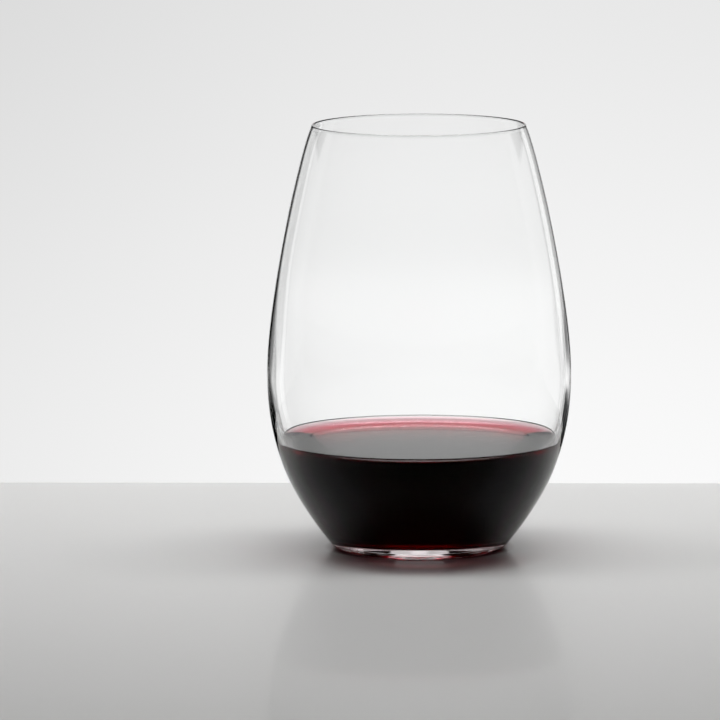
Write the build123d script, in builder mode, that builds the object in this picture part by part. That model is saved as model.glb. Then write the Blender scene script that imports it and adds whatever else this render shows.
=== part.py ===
from build123d import *
from math import radians, tan
import os

# Stemless wine glass with a pour of red wine, in millimetres.
# The origin is the centre of the standing ring on the table, and +Z runs up the glass.

# Outside of the glass, from the lip down: each station is a height and an outer diameter
glass_height = 132.0
rim_diameter = 66.3
neck_height = 119.0
neck_diameter = 74.0
shoulder_height = 100.0
shoulder_diameter = 82.7
side_height = 80.0
side_diameter = 89.6
belly_height = 54.3
belly_diameter = 94.4
flank_height = 38.2
flank_diameter = 91.6
bowl_height = 22.0
bowl_diameter = 81.5
heel_height = 8.4
heel_diameter = 65.6
foot_diameter = 52.4  # where the heel would meet the table with a sharp corner
foot_slope = 42.0  # degrees from upright, how the heel leaves the table
lip_slope = 22.0  # degrees from upright, how the wall closes at the lip

# Glass thickness, level across the wall at each station, and upright in the floor
rim_wall = 0.68
neck_wall = 0.7
shoulder_wall = 0.75
side_wall = 0.83
belly_wall = 1.5
flank_wall = 1.8
bowl_wall = 3.05
heel_wall = 4.2
floor_thickness = 7.33

# The floor inside is a low dome, which falls to a trough before it turns up into the wall
dome_diameter = 35.0
dome_height = 5.85
trough_diameter = 51.8
trough_height = 5.33

# Standing ring under the foot
foot_rounding = 5.0
punt_diameter = 28.0
punt_depth = 0.75

# The pour
wine_level = 31.8
meniscus_climb = 2.7  # how far the wine climbs the glass above its level
meniscus_reach = 7.0  # how far from the glass the surface turns flat
meniscus_angle = 25.0  # degrees between the climbing wine and an upright wall

lip_height = glass_height - rim_wall / 2  # the lip is rounded over its whole thickness
axis_foot = (0, 0)
upright = (0, 1)
level_out = (1, 0)
even_flow = (1, 1)  # unit end tangents, so that the curves run through their stations without a wave


def station(diameter, height, wall=0):
    return (diameter / 2 - wall, height)


def from_upright(angle):
    return Vector(0, 1).rotate(Axis.Z, -angle)


def outer_wall():
    """The outside of the glass, from the table to the lip, widest at the belly."""
    belly = station(belly_diameter, belly_height)
    Spline(
        station(foot_diameter, 0),
        station(heel_diameter, heel_height),
        station(bowl_diameter, bowl_height),
        station(flank_diameter, flank_height),
        belly,
        tangents=[from_upright(foot_slope), upright],
        tangent_scalars=even_flow,
    )
    Spline(
        belly,
        station(side_diameter, side_height),
        station(shoulder_diameter, shoulder_height),
        station(neck_diameter, neck_height),
        station(rim_diameter, lip_height),
        tangents=[upright, from_upright(-lip_slope)],
        tangent_scalars=even_flow,
    )


def inner_wall():
    """The inside of the glass, from the middle of its floor to the lip."""
    belly = station(belly_diameter, belly_height, belly_wall)
    lower = Spline(
        (0, floor_thickness),
        station(dome_diameter, dome_height),
        station(trough_diameter, trough_height),
        station(heel_diameter, heel_height, heel_wall),
        station(bowl_diameter, bowl_height, bowl_wall),
        station(flank_diameter, flank_height, flank_wall),
        belly,
        tangents=[level_out, upright],
        tangent_scalars=even_flow,
    )
    upper = Spline(
        belly,
        station(side_diameter, side_height, side_wall),
        station(shoulder_diameter, shoulder_height, shoulder_wall),
        station(neck_diameter, neck_height, neck_wall),
        station(rim_diameter, lip_height, rim_wall),
        tangents=[upright, from_upright(-lip_slope)],
        tangent_scalars=even_flow,
    )
    return lower, upper


os.makedirs("parts", exist_ok=True)

# The glass: one blown wall from floor to lip, thin at the top and heavy at the heel,
# with a fire-polished lip and a shallow hollow under the foot
punt_edge = station(punt_diameter, 0)

with BuildPart() as glass_bowl:
    with BuildSketch(Plane.XZ) as wall_section:
        with BuildLine():
            outer_wall()
            ThreePointArc(
                station(rim_diameter, lip_height),
                station(rim_diameter, glass_height, rim_wall / 2),
                station(rim_diameter, lip_height, rim_wall),
            )
            inner_wall()
            Line((0, floor_thickness), (0, punt_depth))
            TangentArc((0, punt_depth), punt_edge, tangent=level_out)
            Line(punt_edge, station(foot_diameter, 0))
        make_face()
    revolve(axis=Axis.Z)
    table_edges = glass_bowl.edges().filter_by(GeomType.CIRCLE).group_by(Axis.Z)[0]
    fillet(table_edges, radius=foot_rounding)

# The wine: fills the inside of the glass face to face, and its surface climbs the wall in a meniscus
contact_height = wine_level + meniscus_climb

with BuildPart() as red_wine:
    with BuildSketch(Plane.XZ) as pour_section:
        with BuildLine():
            lower_wall, upper_wall = inner_wall()
            across = Line(upper_wall @ 1, (0, lip_height))
            Line(across @ 1, (0, floor_thickness))
        make_face()
        with BuildLine():
            inside = Wire([lower_wall, upper_wall])
            to_wall = IntersectingLine((0, contact_height), level_out, inside, mode=Mode.PRIVATE)
            contact = to_wall @ 1
            turn = contact.X - meniscus_climb * tan(radians(meniscus_angle))
            flat_edge = (contact.X - meniscus_reach, wine_level)
            Bezier(flat_edge, (turn, wine_level), contact)
            Polyline(contact, (belly_diameter, contact_height), (belly_diameter, 0), axis_foot,
                     (0, wine_level), flat_edge)
        make_face(mode=Mode.INTERSECT)
    revolve(axis=Axis.Z)

glass_bowl.part.label = "glass_bowl"
red_wine.part.label = "red_wine"
for piece in (glass_bowl, red_wine):
    export_step(piece.part, f"parts/{piece.part.label}.step")

millilitre = 1000.0
print(f"glass {glass_bowl.part.volume / millilitre:.1f} ml, wine {red_wine.part.volume / millilitre:.1f} ml")
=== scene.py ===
import math

import bpy
import numpy as np
from mathutils import Euler, Matrix


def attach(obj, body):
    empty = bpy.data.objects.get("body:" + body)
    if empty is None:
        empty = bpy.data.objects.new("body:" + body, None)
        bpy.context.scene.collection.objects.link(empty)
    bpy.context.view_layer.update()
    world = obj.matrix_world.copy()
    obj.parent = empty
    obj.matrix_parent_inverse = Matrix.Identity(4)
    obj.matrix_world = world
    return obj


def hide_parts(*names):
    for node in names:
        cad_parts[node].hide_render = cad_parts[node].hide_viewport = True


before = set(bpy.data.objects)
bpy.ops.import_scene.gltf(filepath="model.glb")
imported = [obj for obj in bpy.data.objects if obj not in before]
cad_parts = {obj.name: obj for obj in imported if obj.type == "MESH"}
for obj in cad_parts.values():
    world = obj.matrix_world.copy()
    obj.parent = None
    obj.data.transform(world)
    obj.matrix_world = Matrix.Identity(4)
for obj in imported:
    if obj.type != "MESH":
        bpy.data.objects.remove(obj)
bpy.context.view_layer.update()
mm = 0.001
degrees = 180 / math.pi
white = (1, 1, 1, 1)
black = (0, 0, 0, 1)
print("frame loaded")


# node trees are written with these two: a wire carries a value, a sheet holds the nodes

class Wire:
    def __init__(self, sheet, socket):
        self.sheet, self.socket = sheet, socket

    def calc(self, operation, first, second=0.0):
        return self.sheet.add("ShaderNodeMath", {"operation": operation}, {0: first, 1: second})

    def __add__(self, other):
        return self.calc("ADD", self, other)

    def __radd__(self, other):
        return self.calc("ADD", other, self)

    def __sub__(self, other):
        return self.calc("SUBTRACT", self, other)

    def __rsub__(self, other):
        return self.calc("SUBTRACT", other, self)

    def __mul__(self, other):
        return self.calc("MULTIPLY", self, other)

    def __rmul__(self, other):
        return self.calc("MULTIPLY", other, self)

    def __truediv__(self, other):
        return self.calc("DIVIDE", self, other)

    def __rtruediv__(self, other):
        return self.calc("DIVIDE", other, self)

    def __mod__(self, other):
        return self.calc("FLOORED_MODULO", self, other)

    def __lt__(self, other):
        return self.calc("LESS_THAN", self, other)

    def __abs__(self):
        return self.calc("ABSOLUTE", self)

    def root(self):
        return self.calc("SQRT", self)

    def sine(self):
        return self.calc("SINE", self)

    def cosine(self):
        return self.calc("COSINE", self)

    def larger(self, other):
        return self.calc("MAXIMUM", self, other)

    def bearing(self, other):  # degrees from the other's axis towards this one's
        return self.calc("ARCTAN2", self, other) * degrees

    def fade(self, start, end, low=0.0, high=1.0):  # goes softly from low to high between start and end
        return self.sheet.add("ShaderNodeMapRange", {"interpolation_type": "SMOOTHSTEP", "clamp": True},
                              {"Value": self, "From Min": start, "From Max": end,
                               "To Min": low, "To Max": high})

    def band(self, start, full, past, end):  # rises softly from start to full, and falls from past to end
        return self.fade(start, full) * self.fade(past, end, 1, 0)


class Sheet:
    def __init__(self, tree):
        self.tree = tree

    def add(self, kind, settings=None, sockets=None, out=0):
        node = self.tree.nodes.new(kind)
        for name, value in (settings or {}).items():
            setattr(node, name, value)
        for key, value in (sockets or {}).items():
            if isinstance(value, Wire):
                self.tree.links.new(value.socket, node.inputs[key])
            else:
                node.inputs[key].default_value = value
        return Wire(self, node.outputs[out]) if node.outputs else node

    def also(self, wire, out):  # another output of the node that a wire comes from
        return Wire(self, wire.socket.node.outputs[out])

    def colour(self, share, first, second):  # a colour on the way from first to second
        firstColour, secondColour, mixedColour = 6, 7, 2  # places of the node's colour sockets
        sockets = {"Factor": share, firstColour: first, secondColour: second}
        return self.add("ShaderNodeMix", {"data_type": "RGBA"}, sockets, mixedColour)


def newFinish(name):
    finish = bpy.data.materials.new(name)
    finish.use_nodes = True
    finish.node_tree.nodes.clear()
    return finish, Sheet(finish.node_tree)


def inMetres(lengths):
    return [length * mm for length in lengths]


# shape of the glass: the same stations as its solid, from the lip down, in millimetres

glass = {
    "rim": (66.3, 131.66, 0.68),  # outer diameter, height, level thickness of the wall
    "neck": (74.0, 119.0, 0.7),
    "shoulder": (82.7, 100.0, 0.75),
    "side": (89.6, 80.0, 0.83),
    "belly": (94.4, 54.3, 1.5),
    "flank": (91.6, 38.2, 1.8),
    "bowl": (81.5, 22.0, 3.05),
    "heel": (65.6, 8.4, 4.2),
    "foot": (52.4, 0.0),
    "footSlope": 42.0,  # degrees from upright, as the next
    "lipSlope": 22.0,
    "floor": (0.0, 7.33),  # the floor is a low dome with a trough around it
    "dome": (35.0, 5.85),
    "trough": (51.8, 5.33),
    "footRounding": 5.0,
    "puntDiameter": 28.0,
    "puntDepth": 0.75,
    "lowRows": 20,  # rows of faces between two stations below the belly
    "highRows": 12,  # and above it
    "puntRows": 14,
    "footRows": 12,
    "lipRows": 15,
    "segments": 256,
    "ior": 1.52,
    "tint": (0.995, 1.0, 0.998, 1),
    "dryShine": (0.3, 0.3, 0.3, 1),  # straight-on reflection above the wine, below it there is none
    "paintedLipShade": (0.68, 0.686, 0.684, 1),
    "lipHeights": (130.8, 131.9),  # where the lip's painted shade starts and is full
    "blown": (45.0, 0.02, 0.2),  # faint unevenness of the blown wall: scale, strength, depth
}

wine = {
    "level": 31.8,
    "climb": 2.7,  # up the wall, above the level
    "reach": 7.0,  # from the wall to where the surface is flat
    "angle": 25.0,  # degrees between the climbing edge and an upright wall
    "overlap": 0.04,  # how far it stands in the glass, so that no air shows between them
    "softEdge": 0.0213,  # where the first row of the climb ends, as a share of its curve
    "climbRows": 46,
    "levelRows": 6,
    "ior": 1.345,
    "absorb": 800.0,  # per metre
    "letsThrough": (0.86, 0.0, 0.16, 1),
    "edgeTint": (1.0, 0.97, 0.975, 1),  # of the climbing edge
    "edgeEvenness": 0.7,  # share of that tint that the ripple doesn't change
    "ripple": (60.0, 0.01, 0.1),  # scale, strength, depth
}
wineTop = wine["level"] + wine["climb"]


def fromUpright(angle):
    return np.array((math.sin(math.radians(angle)), math.cos(math.radians(angle))))


def station(name):
    return np.array((glass[name][0] / 2, glass[name][1]))


def innerStation(name):
    return np.array((glass[name][0] / 2 - glass[name][2], glass[name][1]))


def flow(stations, start, end, rows):  # smooth curve through the stations, with its two end directions
    points = np.array(stations)
    steps = np.diff(points, axis=0)
    gaps = np.linalg.norm(steps, axis=1)
    count = len(points)
    left, right = np.eye(count), np.zeros((count, 2))
    right[0], right[-1] = start, end
    for i in range(1, count - 1):
        before, after = gaps[i - 1], gaps[i]
        left[i, i - 1:i + 2] = after, 2 * (before + after), before
        right[i] = 3 * (after / before * steps[i - 1] + before / after * steps[i])
    slopes = np.linalg.solve(left, right)
    t = np.linspace(0, 1, rows, endpoint=False)[:, None]
    curve = [(1 + 2 * t) * (1 - t) ** 2 * points[i] + t * (1 - t) ** 2 * gaps[i] * slopes[i]
             + t * t * (3 - 2 * t) * points[i + 1] + t * t * (t - 1) * gaps[i] * slopes[i + 1]
             for i in range(count - 1)]
    return np.vstack(curve + [points[-1:]])


def arc(centre, radius, first, last, steps):  # angles in degrees, from the level towards +Z
    angles = np.radians(np.linspace(first, last, steps))
    return np.array(centre) + radius * np.column_stack((np.cos(angles), np.sin(angles)))


def normalsOf(points):  # to the left of the way along the points
    along = np.gradient(points, axis=0)
    along /= np.linalg.norm(along, axis=1)[:, None]
    return np.column_stack((-along[:, 1], along[:, 0]))


def bowlOutside(finer):
    low = flow([station(name) for name in ("foot", "heel", "bowl", "flank", "belly")],
               fromUpright(glass["footSlope"]), fromUpright(0), glass["lowRows"] * finer)
    high = flow([station(name) for name in ("belly", "side", "shoulder", "neck", "rim")],
                fromUpright(0), fromUpright(-glass["lipSlope"]), glass["highRows"])
    return low, high


def bowlInside():
    floor = [station(name) for name in ("floor", "dome", "trough")]
    wall = [innerStation(name) for name in ("heel", "bowl", "flank", "belly")]
    low = flow(floor + wall, fromUpright(90), fromUpright(0), glass["lowRows"])
    high = flow([innerStation(name) for name in ("belly", "side", "shoulder", "neck", "rim")],
                fromUpright(0), fromUpright(-glass["lipSlope"]), glass["highRows"])
    return np.vstack((low[:-1], high))


def glassProfile(inner):
    half, depth = glass["puntDiameter"] / 2, glass["puntDepth"]
    radius = (half ** 2 + depth ** 2) / (2 * depth)
    spread = math.degrees(math.asin(half / radius))
    punt = arc((0, depth - radius), radius, 90, 90 - spread, glass["puntRows"])
    finer = 3  # the lower wall is drawn with finer rows to find where the rounding meets it
    low, high = bowlOutside(finer)
    rounding = glass["footRounding"]
    centres = low + rounding * normalsOf(low)
    start = int(np.argmax(centres[:, 1] > rounding))  # where a ball on the table would touch the wall
    centre = (centres[start, 0], rounding)
    toWall = math.degrees(math.atan2(*(low[start] - centre)[::-1]))
    foot = arc(centre, rounding, -90, toWall, glass["footRows"])
    rim, rimWall = station("rim"), glass["rim"][2]
    lip = arc((rim[0] - rimWall / 2, rim[1]), rimWall / 2, 0, 180, glass["lipRows"])
    outer = np.vstack((punt, foot, low[start + 1:-1][::finer], high, lip[1:-1]))
    return np.vstack((outer, inner[::-1]))


def wineProfile(inner):
    top = int(np.argmax(inner[:, 1] > wineTop))
    share = (wineTop - inner[top - 1, 1]) / (inner[top, 1] - inner[top - 1, 1])
    contact = inner[top - 1] + share * (inner[top] - inner[top - 1])
    wall = np.vstack((inner[:top], contact))
    wall = wall - wine["overlap"] * normalsOf(wall)
    wall[0, 0] = 0  # the middle of the floor stays on the axis
    contact = wall[-1]
    t = np.linspace(wine["softEdge"], 1, wine["climbRows"])[:, None]
    turn = np.array((contact[0] - wine["climb"] * math.tan(math.radians(wine["angle"])), wine["level"]))
    flat = np.array((contact[0] - wine["reach"], wine["level"]))
    climb = (1 - t) ** 2 * contact + 2 * t * (1 - t) * turn + t * t * flat
    surface = np.linspace(flat, (0, wine["level"]), wine["levelRows"])[1:]
    return np.vstack((wall, climb, surface))


def curveOf(name, points):  # a plain curve that the turning tree reads
    curve = bpy.data.curves.new(name, "CURVE")
    curve.dimensions = "3D"
    line = curve.splines.new("POLY")
    line.points.add(len(points) - 1)
    for spot, (r, z) in zip(line.points, points):
        spot.co = (r * mm, 0, z * mm, 1)
    holder = bpy.data.objects.new(name, curve)
    bpy.context.scene.collection.objects.link(holder)
    return holder


def turningTree():  # turns a profile about the upright axis, and gives its lower part a second finish
    tree = bpy.data.node_groups.new("turnedGlassware", "GeometryNodeTree")
    face = tree.interface
    face.new_socket("Geometry", in_out="OUTPUT", socket_type="NodeSocketGeometry")
    for label, kind in (("Profile", "Object"), ("Rows", "Int"), ("Segments", "Int"), ("Finish", "Material"),
                        ("Wetted finish", "Material"), ("Wetted below", "Float")):
        face.new_socket(label, in_out="INPUT", socket_type="NodeSocket" + kind)
    sheet = Sheet(tree)
    rows = sheet.add("NodeGroupInput", out="Rows")
    given = {label: sheet.also(rows, label) for label in
             ("Profile", "Segments", "Finish", "Wetted finish", "Wetted below")}
    grid = sheet.add("GeometryNodeMeshGrid", None, {
        "Vertices X": given["Segments"] + 1, "Vertices Y": rows, "Size X": 1.0, "Size Y": 1.0}, "Mesh")
    index = sheet.add("GeometryNodeInputIndex")
    row = index % rows
    column = (index - row) / rows
    angle = column / given["Segments"] * (2 * math.pi)
    profile = sheet.add("GeometryNodeObjectInfo", {"transform_space": "ORIGINAL"},
                        {"Object": given["Profile"]}, "Geometry")
    place = sheet.add("GeometryNodeInputPosition")
    spot = sheet.add("GeometryNodeSampleIndex", {"data_type": "FLOAT_VECTOR", "domain": "POINT"},
                     {"Geometry": profile, "Value": place, "Index": row})
    radius = sheet.add("ShaderNodeSeparateXYZ", None, {0: spot}, "X")
    height = sheet.also(radius, "Z")
    turned = sheet.add("ShaderNodeCombineXYZ", None, {
        "X": radius * angle.cosine(), "Y": radius * angle.sine(), "Z": height})
    shaped = sheet.add("GeometryNodeSetPosition", None, {"Geometry": grid, "Position": turned})
    seam = 0.0002 * mm  # points closer than this are joined, at the seam and at the poles
    closed = sheet.add("GeometryNodeMergeByDistance", None, {"Geometry": shaped, "Distance": seam})
    smooth = sheet.add("GeometryNodeSetShadeSmooth", None, {"Geometry": closed, "Shade Smooth": True})
    real = sheet.add("GeometryNodeRealizeInstances", None, {"Geometry": smooth})
    first = sheet.add("GeometryNodeSetMaterial", None, {"Geometry": real, "Material": given["Finish"]})
    wetted = sheet.add("ShaderNodeSeparateXYZ", None, {0: place}, "Z") < given["Wetted below"]
    second = sheet.add("GeometryNodeSetMaterial", None, {
        "Geometry": first, "Selection": wetted, "Material": given["Wetted finish"]})
    sheet.add("NodeGroupOutput", None, {0: second})
    return tree


def turnPiece(name, tree, points, finish, wettedFinish, wettedBelow):
    profile = curveOf(name + ".profile", points)
    holder = bpy.data.objects.new(name + ".turning", bpy.data.meshes.new(name + ".turning"))
    bpy.context.scene.collection.objects.link(holder)
    modifier = holder.modifiers.new("turning", "NODES")
    modifier.node_group = tree
    sockets = {item.name: item.identifier for item in tree.interface.items_tree if item.in_out == "INPUT"}
    for label, value in {"Profile": profile, "Rows": len(points), "Segments": glass["segments"],
                         "Finish": finish, "Wetted finish": wettedFinish,
                         "Wetted below": wettedBelow * mm}.items():
        modifier[sockets[label]] = value
    evaluated = holder.evaluated_get(bpy.context.evaluated_depsgraph_get())
    mesh = bpy.data.meshes.new_from_object(evaluated)
    mesh.name = name
    while None in list(mesh.materials):  # the grid starts with an empty slot
        mesh.materials.pop(index=list(mesh.materials).index(None))
    holder.modifiers.remove(modifier)
    bpy.data.objects.remove(holder)
    bpy.data.objects.remove(profile)
    piece = bpy.data.objects.new(name, mesh)
    bpy.context.scene.collection.objects.link(piece)
    finishNames = [used.name for used in mesh.materials]
    print(name, len(mesh.vertices), "points,", len(mesh.polygons), "faces,", finishNames)
    return piece


def faintWaves(sheet, place, scale, strength, depth):  # a soft noise, and a bump made of it
    waves = sheet.add("ShaderNodeTexNoise", None, {"Vector": place, "Scale": scale, "Detail": 1.0}, "Fac")
    bump = sheet.add("ShaderNodeBump", None,
                     {"Height": waves, "Strength": strength, "Distance": depth * mm}, "Normal")
    return waves, bump


def seeThrough(sheet, colour, ior, shine, bump):
    return sheet.add("ShaderNodeBsdfPrincipled", None, {
        "Base Color": colour, "Roughness": 0.0, "IOR": ior, "Transmission Weight": 1.0,
        "Specular Tint": shine, "Normal": bump})


def clearGlass(name, shine):
    finish, sheet = newFinish(name)
    place = sheet.add("ShaderNodeTexCoord", out="Object")
    blown, bump = faintWaves(sheet, place, *glass["blown"])
    height = sheet.add("ShaderNodeSeparateXYZ", None, {0: place}, "Z")
    # painted shade: the lip's colour is darkened to give the rim a darker line
    lip = height.fade(*inMetres(glass["lipHeights"]))
    tint = sheet.colour(lip, sheet.colour(blown, glass["tint"], white), glass["paintedLipShade"])
    shader = seeThrough(sheet, tint, glass["ior"], shine, bump)
    sheet.add("ShaderNodeOutputMaterial", None, {"Surface": shader})
    return finish


def redWine():
    finish, sheet = newFinish("redWine")
    place = sheet.add("ShaderNodeTexCoord", out="Object")
    height = sheet.add("ShaderNodeSeparateXYZ", None, {0: place}, "Z")
    ripple, bump = faintWaves(sheet, place, *wine["ripple"])
    even = wine["edgeEvenness"]
    edge = height.fade(wine["level"] * mm, wineTop * mm) * (even + (1 - even) * ripple)
    shader = seeThrough(sheet, sheet.colour(edge, white, wine["edgeTint"]), wine["ior"], black, bump)
    depth = sheet.add("ShaderNodeVolumeAbsorption", None,
                      {"Color": wine["letsThrough"], "Density": wine["absorb"]})
    sheet.add("ShaderNodeOutputMaterial", None, {"Surface": shader, "Volume": depth})
    return finish


tree = turningTree()
inner = bowlInside()
clear = clearGlass("clearGlass", glass["dryShine"])
wet = clearGlass("clearGlassUnderWine", black)
glassPiece = turnPiece("clear_bowl", tree, glassProfile(inner), clear, wet, wineTop)
pour = redWine()
winePiece = turnPiece("wine_pour", tree, wineProfile(inner), pour, pour, 0)
for piece, node, slot in ((glassPiece, "glass_bowl", "clear_glass"), (winePiece, "red_wine", "red_wine")):
    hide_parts(node)
    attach(piece, "root")
print("glass and wine turned")


# pale table, with painted shade and light in its colour: darker towards the front, a painted red shadow
# where the wine's shade and red light would fall under and in front of the foot, and a painted pink caustic
# arc

table = {
    "halfWidth": 3.0,  # metres, as the next four
    "depth": 4.0,
    "farEdge": 0.124,
    "paintedShadeFrom": -0.5,  # painted shade: the table darkens towards the front, and shades softly from here to the pale end
    "paleFrom": 0.3,
    "turn": -0.95,  # degrees
    "lift": 0.02,  # millimetres, as the lengths below, so that the foot looks straight onto the table
    "paintedShadeNear": (0.30, 0.298, 0.293, 1),
    "pale": (0.81, 0.807, 0.799, 1),
    # colour of the painted shadow, dark red, for the wine's shade and the red light it lets through
    "red": (0.11, 0.012, 0.016, 1),
    "redUnder": (26, 30),  # painted shadow under the foot: how far from the middle of the foot it goes, where it starts to fade and ends
    "redInFront": (36, 60),
    "redSpread": (0.2, 0.9),  # 1 is straight in front of the foot, 0 beside it
    "redStrength": 0.92,
    "redShift": 2,  # to the right
    "redSqueeze": 2,  # makes it narrower than it is deep
    # painted caustic: a pink arc of light in front of the foot, painted into the table's colour
    "arc": (0.6, 0.2, 0.19, 1),
    "arcMiddle": (1, -22),
    "arcBand": (9, 14.7, 15.2, 20.5),  # from its middle: starts, is full, is full no more and ends
    "arcSpread": (0.8, 1.0),
    "paintedCausticStrength": 0.5,
    "roughness": 0.3,
    "ior": 1.1,
    "coat": 0.17,
    "coatRoughness": 0.05,
    "coatIor": 1.45,
}


def tableTop():
    turnZ = math.radians(table["turn"])
    half, depth = table["halfWidth"], table["depth"]
    points = [(x * math.cos(turnZ) - y * math.sin(turnZ),
               x * math.sin(turnZ) + y * math.cos(turnZ) + table["farEdge"], table["lift"] * mm)
              for x, y in ((-half, -depth), (half, -depth), (half, 0), (-half, 0))]
    mesh = bpy.data.meshes.new("tableTop")
    mesh.from_pydata(points, [], [(0, 1, 2, 3)])
    top = bpy.data.objects.new("table_top", mesh)
    bpy.context.scene.collection.objects.link(top)
    mesh.materials.append(paleTable())


def paleTable():
    finish, sheet = newFinish("paleTable")
    place = sheet.add("ShaderNodeTexCoord", out="Object")
    x = sheet.add("ShaderNodeSeparateXYZ", None, {0: place}, "X")
    y = sheet.also(x, "Y")
    # painted shade: the table's colour darkens towards the front
    shade = sheet.colour(y.fade(table["paintedShadeFrom"], table["paleFrom"]), table["paintedShadeNear"], table["pale"])

    # painted shadow, dark red, under and in front of the foot, standing in for the wine's shade and the red
    # light through it
    fromFoot = (x * x + y * y).root()
    towards = (0 - y) / (fromFoot + mm)  # the added millimetre keeps it from dividing by nothing
    under = fromFoot.fade(*inMetres(table["redUnder"]), 1, 0)
    aside = x - table["redShift"] * mm
    reach = (aside * aside * table["redSqueeze"] + y * y).root()
    front = reach.fade(*inMetres(table["redInFront"]), table["redStrength"], 0)
    shade = sheet.colour((front * towards.fade(*table["redSpread"])).larger(under), shade, table["red"])

    # painted caustic highlight, a pink arc in front of the foot
    middleX, middleY = inMetres(table["arcMiddle"])
    arcX, arcY = x - middleX, y - middleY
    fromArc = (arcX * arcX + arcY * arcY).root()
    paintedCausticArc = fromArc.band(*inMetres(table["arcBand"])) * towards.fade(*table["arcSpread"])
    shade = sheet.colour(paintedCausticArc * table["paintedCausticStrength"], shade, table["arc"])

    shader = sheet.add("ShaderNodeBsdfPrincipled", None, {
        "Base Color": shade, "Roughness": table["roughness"], "IOR": table["ior"],
        "Coat Weight": table["coat"], "Coat Roughness": table["coatRoughness"],
        "Coat IOR": table["coatIor"]})
    sheet.add("ShaderNodeOutputMaterial", None, {"Surface": shader})
    return finish


# studio light by direction: bearings are degrees from straight behind the glass, + to the right, and
# heights are degrees from level. Two edges may be followed by the levels before and after them, and four
# heights are where something starts, is full, is full no more and ends

studio = {
    "tableward": (-13, -7),  # heights under which panels draw back from the table
    "skyward": (2, 7),  # heights over which the backdrop widens
    "innerFlags": (4, 6, 32, 38),  # heights of the dark flags beside the backdrop
    "outerFlags": (7, 9, 32, 38),
    "glowLow": (-10, -3, 0.96, 0.78),  # the pale backdrop, by height
    "glowHigh": (-3, 6, 0, 0.12),
    "glowRight": (-6.5, 1, 0.84, 1),  # and by bearing
    "glowLeft": (-9, -4.5, 0.16, 0),
    "greyHeights": (5, 7, 18, 24),  # a greyer part of the backdrop, which the upper wall shows
    "greyBearings": (2, 5, 0.1, 0.36),
    "backdrop": (-11, 11.5),
    "backdropWidens": (2.4, 1.9),
    "backdropSoft": 2,
    "backdropTop": (40, 60),
    # two edges, and how far each is drawn back low down, at the inner flags and at the outer flags
    "leftFill": ((-29, (8, 4, 30)), (-18.5, (15, 10.5, 30))),
    "leftFillLevel": (-70, -50, 0.93, 0.8),
    "rightCard": (17, 30, 4),  # edges and softness
    "rightCardFoot": (-10.5, -8.8, 0.05, 0.95),
    "rightCardDrop": (-8, -4, 0, 0.45),
    "strip": (30, 41, 2),
    "stripDrawnIn": 4,
    "stripLevel": 1.4,
    "rightFill": (40, 44),
    "rightFillDrawnBack": 20,
    "rightFillLevel": (50, 70, 0.9, 0.93),
    "topLight": (-20, 20, 8),
    "topLightHeights": (34, 42, 56, 70),
    "topLightLevel": 8,
    "overheadTilt": 8,  # a long light over the table, tilted to the back
    "overheadWidth": (4, 11),
    "overheadLength": (25, 50),
    "overheadLevel": 7.18,
    "roomLevel": 0.25,
}


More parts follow.
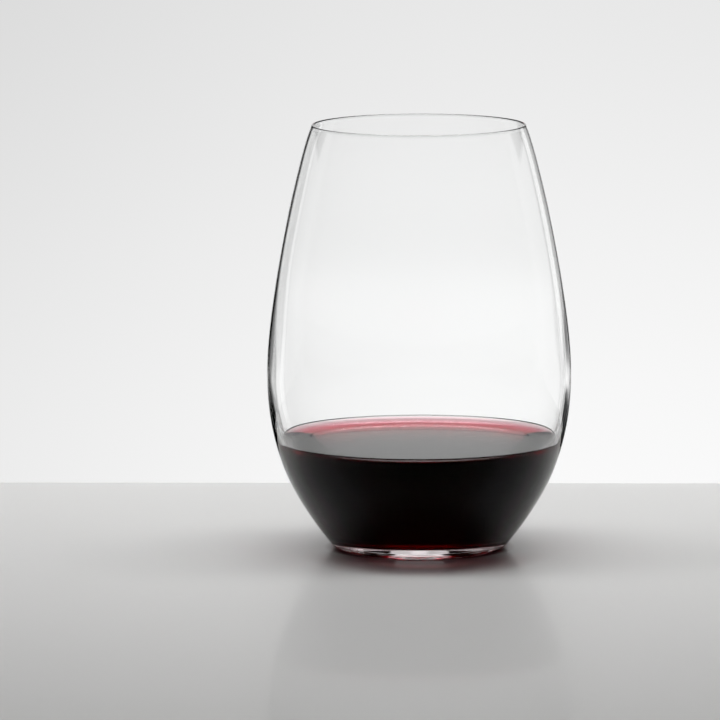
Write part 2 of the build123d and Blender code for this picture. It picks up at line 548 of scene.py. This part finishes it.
def studioWorld():
    world = bpy.data.worlds.new("studio")
    bpy.context.scene.world = world
    world.use_nodes = True
    world.node_tree.nodes.clear()
    world.cycles.sampling_method = "NONE"
    sheet = Sheet(world.node_tree)
    way = sheet.add("ShaderNodeTexCoord", out="Generated")
    x = sheet.add("ShaderNodeSeparateXYZ", None, {0: way}, "X")
    y, z = sheet.also(x, "Y"), sheet.also(x, "Z")
    around = x.bearing(y)
    up = z.calc("ARCSINE", z) * degrees

    def between(first, last, soft):
        half = soft / 2
        return around.band(first - half, first + half, last - half, last + half)

    low = up.fade(*studio["tableward"], 1, 0)
    high = up.fade(*studio["skyward"])
    innerFlags = up.band(*studio["innerFlags"])
    outerFlags = up.band(*studio["outerFlags"])

    glow = up.fade(*studio["glowLow"]) + up.fade(*studio["glowHigh"])
    glow = glow * (around.fade(*studio["glowRight"]) + around.fade(*studio["glowLeft"]))
    grey = up.band(*studio["greyHeights"]) * abs(around).fade(*studio["greyBearings"])
    (first, last), (widerLeft, widerRight) = studio["backdrop"], studio["backdropWidens"]
    backdrop = between(first - widerLeft * high, last + widerRight * high, studio["backdropSoft"])
    backdrop = backdrop * glow * up.fade(*studio["backdropTop"], 1, 0) * (1 - grey)

    edges = [edge - backLow * low - backInner * innerFlags - backOuter * outerFlags
             for edge, (backLow, backInner, backOuter) in studio["leftFill"]]
    leftFill = around.fade(*edges, 1, 0) * around.fade(*studio["leftFillLevel"])
    card = up.fade(*studio["rightCardFoot"]) - up.fade(*studio["rightCardDrop"])
    rightCard = between(*studio["rightCard"]) * card * (1 - innerFlags)
    first, last, soft = studio["strip"]
    strip = between(first + studio["stripDrawnIn"] * low, last, soft)
    strip = strip * studio["stripLevel"] * (1 - outerFlags)
    edges = [edge + studio["rightFillDrawnBack"] * outerFlags for edge in studio["rightFill"]]
    rightFill = around.fade(*edges) * around.fade(*studio["rightFillLevel"])
    topLight = between(*studio["topLight"]) * up.band(*studio["topLightHeights"]) * studio["topLightLevel"]
    panels = backdrop + leftFill + rightCard + strip + rightFill + topLight

    tilt = abs(y.bearing(z) - studio["overheadTilt"])
    lean = abs(x.bearing(z))
    overhead = tilt.fade(*studio["overheadWidth"], 1, 0) * lean.fade(*studio["overheadLength"], 1, 0)
    onTable = studio["roomLevel"] + studio["overheadLevel"] * overhead

    path = sheet.add("ShaderNodeLightPath", out="Diffuse Depth")
    clearWay = path < 0.5  # no matt surface on the way, so glass and wine show the panels
    seen = sheet.also(path, "Is Camera Ray")
    level = seen * glow + (1 - seen) * (clearWay * panels + (1 - clearWay) * onTable)
    shine = sheet.add("ShaderNodeBackground", None, {"Color": white, "Strength": level})
    sheet.add("ShaderNodeOutputWorld", None, {"Surface": shine})


camera = {
    "place": (0, -1.9594, 0.3345),  # metres
    "down": 8.014,  # degrees, as the next two
    "turn": 0.536,
    "roll": -0.17,
    "lens": 319.1,  # millimetres, as the next
    "sensor": 36.0,
    "near": 0.05,  # metres, as the next
    "far": 50,
}


def lookFromTheFront():
    data = bpy.data.cameras.new("front")
    data.sensor_width, data.lens = camera["sensor"], camera["lens"]
    data.clip_start, data.clip_end = camera["near"], camera["far"]
    eye = bpy.data.objects.new("front", data)
    bpy.context.scene.collection.objects.link(eye)
    aim = Euler((math.radians(90 - camera["down"]), 0, math.radians(camera["turn"])), "XYZ").to_matrix()
    roll = Matrix.Rotation(math.radians(camera["roll"]), 3, "Z")
    eye.rotation_euler = (aim @ roll).to_euler()
    eye.location = camera["place"]
    bpy.context.scene.camera = eye


tableTop()
studioWorld()
lookFromTheFront()
scene = bpy.context.scene
scene.view_settings.view_transform = "Standard"
bounces = {
    "max_bounces": 40,
    "transmission_bounces": 40,
    "glossy_bounces": 24,
    "transparent_max_bounces": 16,
}
for name, count in bounces.items():
    setattr(scene.cycles, name, count)
print("table, light and camera set")
